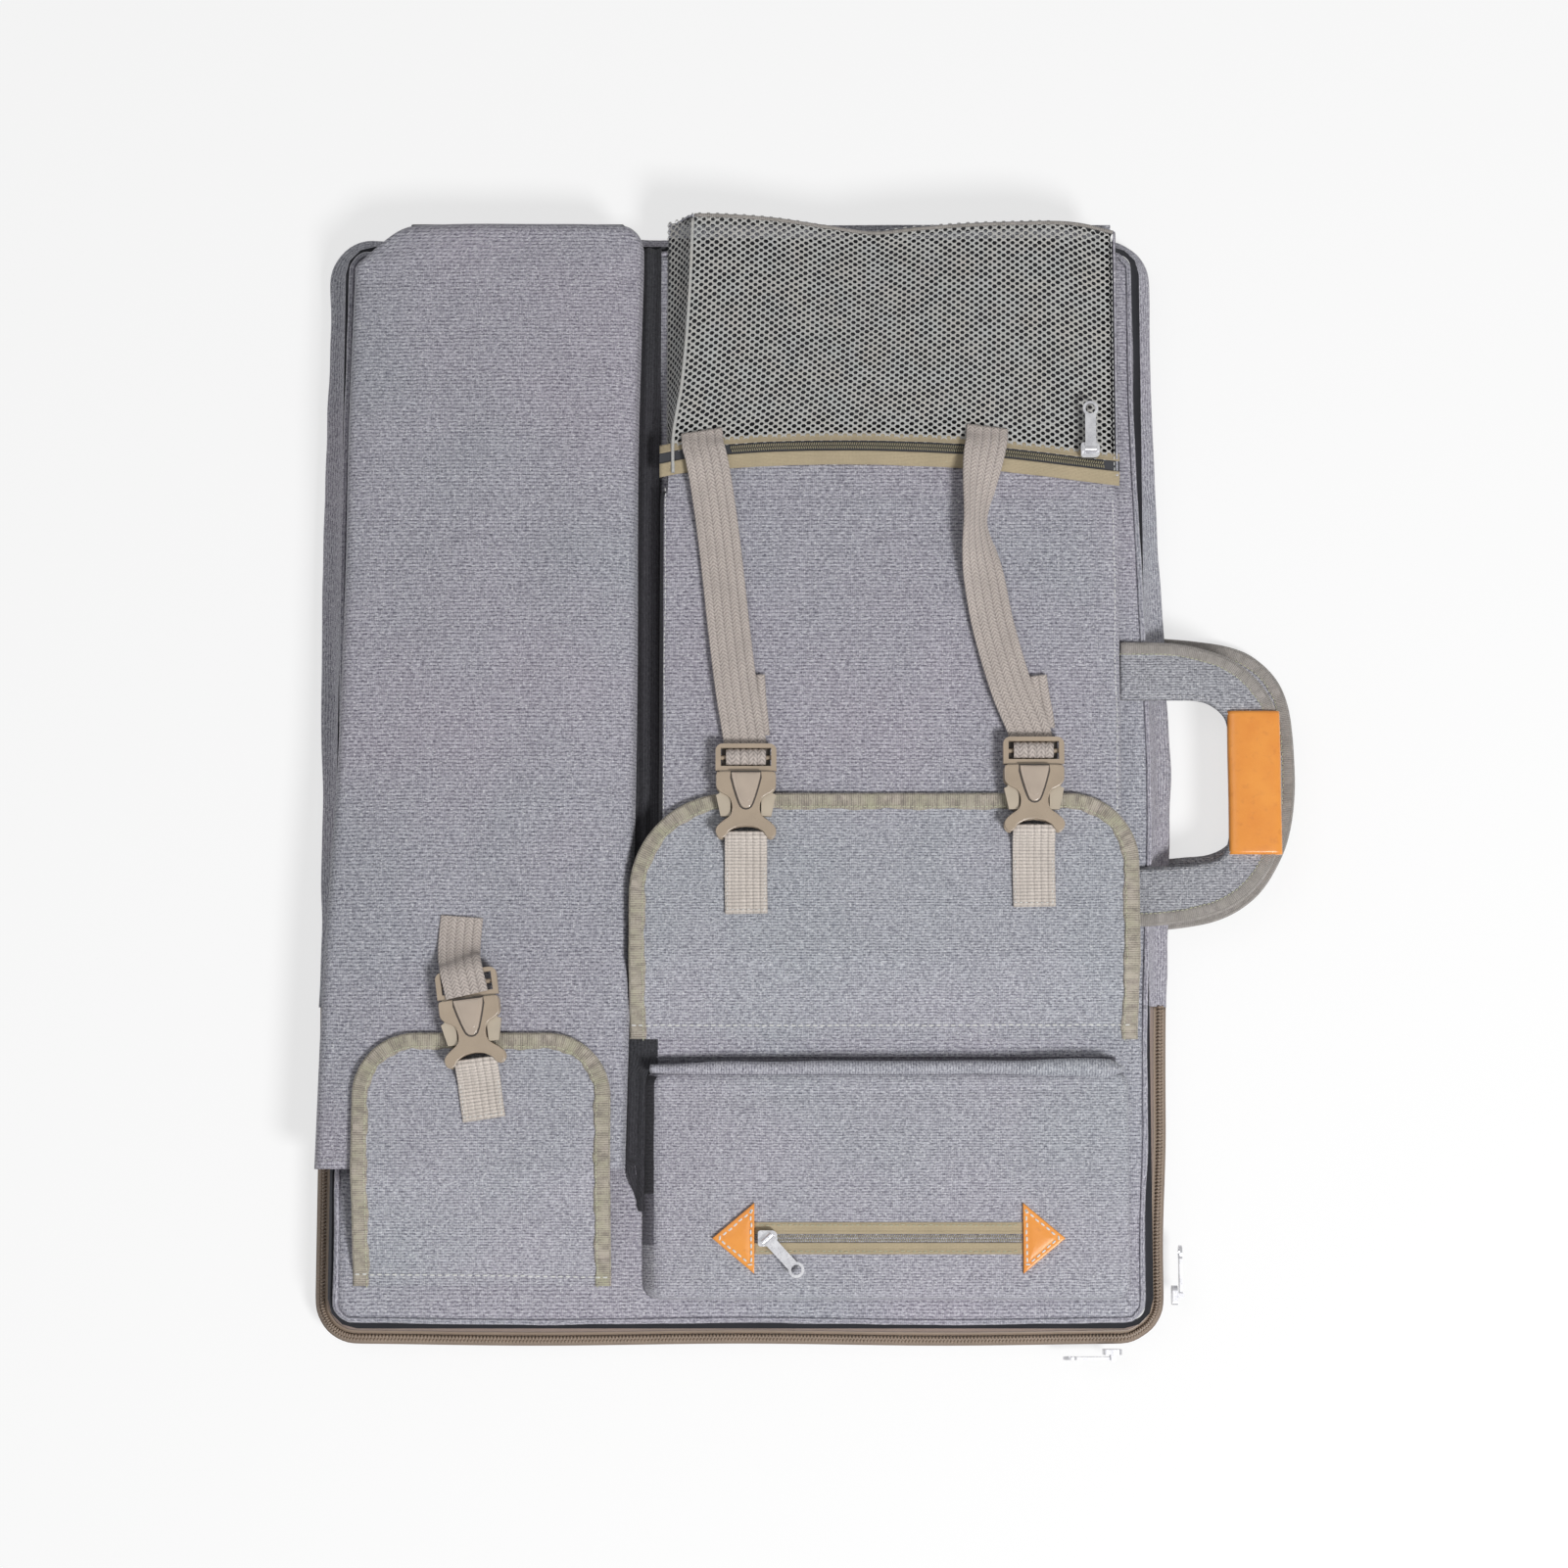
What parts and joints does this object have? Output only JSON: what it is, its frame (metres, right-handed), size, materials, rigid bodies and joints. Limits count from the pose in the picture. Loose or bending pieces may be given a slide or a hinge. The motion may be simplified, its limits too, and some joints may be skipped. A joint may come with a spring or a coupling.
{
  "type": "portfolio case",
  "caption": "Flat soft canvas portfolio case for art boards, with a zipped main compartment, an easel sleeve, buckled flap pockets, a mesh pocket and side carrying handles.",
  "frame": {"origin": "centre of the back face, which lies on the surface", "axes": "+X towards the handles, +Y towards the closed end, away from the mouth, +Z out of the front"},
  "size_m": [0.5779, 0.6696, 0.0721],
  "materials": {
    "canvas": "woven blue-grey canvas, matt, with pale flecks",
    "canvas_dark": "woven blue-grey canvas of the handles, matt",
    "lining": "smooth dark woven lining",
    "foam": "pale closed-cell foam, matt",
    "board": "stiff pale plastic sheet",
    "binding": "taupe herringbone binding tape",
    "zip_tape": "brown-grey woven zip tape",
    "zip_teeth": "brown nylon coil",
    "zip_tape_khaki": "khaki woven zip tape",
    "mesh": "grey-khaki open net",
    "webbing": "tan ribbed webbing",
    "buckle": "light brown moulded plastic, satin",
    "prong": "light brown moulded plastic, satin",
    "leather": "tan-orange leather, smooth, slightly glossy",
    "metal": "nickel-plated, satin"
  },
  "bodies": {
    "back": {"back_panel": "canvas", "back_board": "board", "back_foam": "foam", "back_lining": "lining", "gusset_rear": "canvas", "gusset_rear_mouth": "canvas", "zip_tape_rear": "zip_tape", "zip_teeth_rear": "zip_teeth", "rear_handle_tabs": "canvas_dark"},
    "front": {"front_panel": "canvas", "front_foam": "foam", "front_lining": "lining", "gusset_front": "canvas", "gusset_front_mouth": "canvas", "zip_tape_front": "zip_tape", "zip_teeth_front": "zip_teeth", "easel_sleeve": "canvas", "accessory_pocket": "canvas", "mesh_pocket": "mesh", "mesh_zip_tape": "zip_tape_khaki", "mesh_zip_teeth": "zip_teeth", "front_pocket": "canvas", "pocket_zip_tape": "zip_tape_khaki", "pocket_zip_teeth": "zip_teeth", "leather_patches": "leather", "front_handle_tabs": "canvas_dark"},
    "main_slider_left": {"main_slider_left": "metal"},
    "main_pull_left": {"main_pull_left": "metal"},
    "main_slider_right": {"main_slider_right": "metal"},
    "main_pull_right": {"main_pull_right": "metal"},
    "mesh_slider": {"mesh_slider": "metal"},
    "mesh_pull": {"mesh_pull": "metal"},
    "pocket_slider": {"pocket_slider": "metal"},
    "pocket_pull": {"pocket_pull": "metal"},
    "accessory_flap": {"accessory_flap": "canvas", "accessory_flap_binding": "binding", "accessory_flap_tabs": "webbing", "socket_left": "buckle", "socket_right": "buckle"},
    "tongue_flap": {"tongue_flap": "canvas", "tongue_flap_binding": "binding", "tongue_flap_tab": "webbing", "socket_tongue": "buckle"},
    "strap_left": {"strap_left": "webbing"},
    "strap_right": {"strap_right": "webbing"},
    "strap_tongue": {"strap_tongue": "webbing"},
    "plug_left": {"plug_left": "buckle", "prongs_left": "prong"},
    "plug_right": {"plug_right": "buckle", "prongs_right": "prong"},
    "plug_tongue": {"plug_tongue": "buckle", "prongs_tongue": "prong"},
    "front_handle": {"front_handle": "canvas_dark", "front_handle_binding": "binding", "leather_grip": "leather"},
    "rear_handle": {"rear_handle": "canvas_dark", "rear_handle_binding": "binding"}
  },
  "joints": [
    {"name": "mouth", "type": "hinge", "parent": "back", "child": "front", "pos_m": [0, 0.33, 0.019], "axis": [-1, 0, 0], "range_deg": [0, 5]},
    {"name": "main_slider_left_run", "type": "slide", "parent": "back", "child": "main_slider_left", "axis": [-1, 0, 0], "range_m": [0, 0.43]},
    {"name": "main_slider_right_run", "type": "slide", "parent": "back", "child": "main_slider_right", "axis": [0, 1, 0], "range_m": [0, 0.16]},
    {"name": "main_pull_left_swing", "type": "hinge", "parent": "main_slider_left", "child": "main_pull_left", "pos_m": [0.2145, -0.3365, 0.019], "axis": [0, 0, 1], "range_deg": [0, 160]},
    {"name": "main_pull_right_swing", "type": "hinge", "parent": "main_slider_right", "child": "main_pull_right", "pos_m": [0.2545, -0.3005, 0.019], "axis": [0, 0, -1], "range_deg": [0, 160]},
    {"name": "mesh_slider_run", "type": "slide", "parent": "front", "child": "mesh_slider", "axis": [-1, 0, 0], "range_m": [0, 0.2]},
    {"name": "mesh_pull_swing", "type": "hinge", "parent": "mesh_slider", "child": "mesh_pull", "pos_m": [0.2035, 0.188, 0.0678], "axis": [1, 0, 0], "range_deg": [0, 160]},
    {"name": "pocket_slider_run", "type": "slide", "parent": "front", "child": "pocket_slider", "axis": [1, 0, 0], "range_m": [0, 0.138]},
    {"name": "pocket_pull_swing", "type": "hinge", "parent": "pocket_slider", "child": "pocket_pull", "pos_m": [0.0155, -0.267, 0.0595], "axis": [-0.7314, -0.682, 0], "range_deg": [0, 160]},
    {"name": "accessory_flap_hinge", "type": "hinge", "parent": "front", "child": "accessory_flap", "pos_m": [0.0825, -0.154, 0.041], "axis": [1, 0, 0], "range_deg": [0, 100]},
    {"name": "tongue_flap_hinge", "type": "hinge", "parent": "front", "child": "tongue_flap", "pos_m": [-0.148, -0.295, 0.041], "axis": [1, 0, 0], "range_deg": [0, 140]},
    {"name": "strap_left_lift", "type": "hinge", "parent": "front", "child": "strap_left", "pos_m": [-0.02296, 0.19888, 0.0618], "axis": [-0.9917, -0.1288, 0], "range_deg": [0, 110], "deforming": ["strap_left"]},
    {"name": "strap_right_lift", "type": "hinge", "parent": "front", "child": "strap_right", "pos_m": [0.14306, 0.19888, 0.0618], "axis": [-0.9917, -0.1288, 0], "range_deg": [0, 110], "deforming": ["strap_right"]},
    {"name": "strap_tongue_lift", "type": "hinge", "parent": "front", "child": "strap_tongue", "pos_m": [-0.16093, -0.08538, 0.0593], "axis": [-0.9917, -0.1288, 0], "range_deg": [0, 110], "deforming": ["strap_tongue"]},
    {"name": "plug_left_release", "type": "slide", "parent": "strap_left", "child": "plug_left", "axis": [-0.1288, 0.9917, 0], "range_m": [0, 0.03], "deforming": ["prongs_left"]},
    {"name": "plug_right_release", "type": "slide", "parent": "strap_right", "child": "plug_right", "axis": [-0.1288, 0.9917, 0], "range_m": [0, 0.03], "deforming": ["prongs_right"]},
    {"name": "plug_tongue_release", "type": "slide", "parent": "strap_tongue", "child": "plug_tongue", "axis": [-0.1288, 0.9917, 0], "range_m": [0, 0.02], "deforming": ["prongs_tongue"]},
    {"name": "front_handle_swing", "type": "hinge", "parent": "front", "child": "front_handle", "pos_m": [0.237, -0.0045, 0.0425], "axis": [0, -1, 0], "range_deg": [0, 100]},
    {"name": "rear_handle_swing", "type": "hinge", "parent": "back", "child": "rear_handle", "pos_m": [0.2505, -0.001, 0.0096], "axis": [0, -1, 0], "range_deg": [0, 90]}
  ],
  "couplings": [
    {"joint": "main_slider_left_run", "follows": "mouth", "m_per_rad": 4.927},
    {"joint": "main_slider_right_run", "follows": "mouth", "m_per_rad": 1.833},
    {"joint": "rear_handle_swing", "follows": "front_handle_swing", "ratio": 0.9}
  ]
}
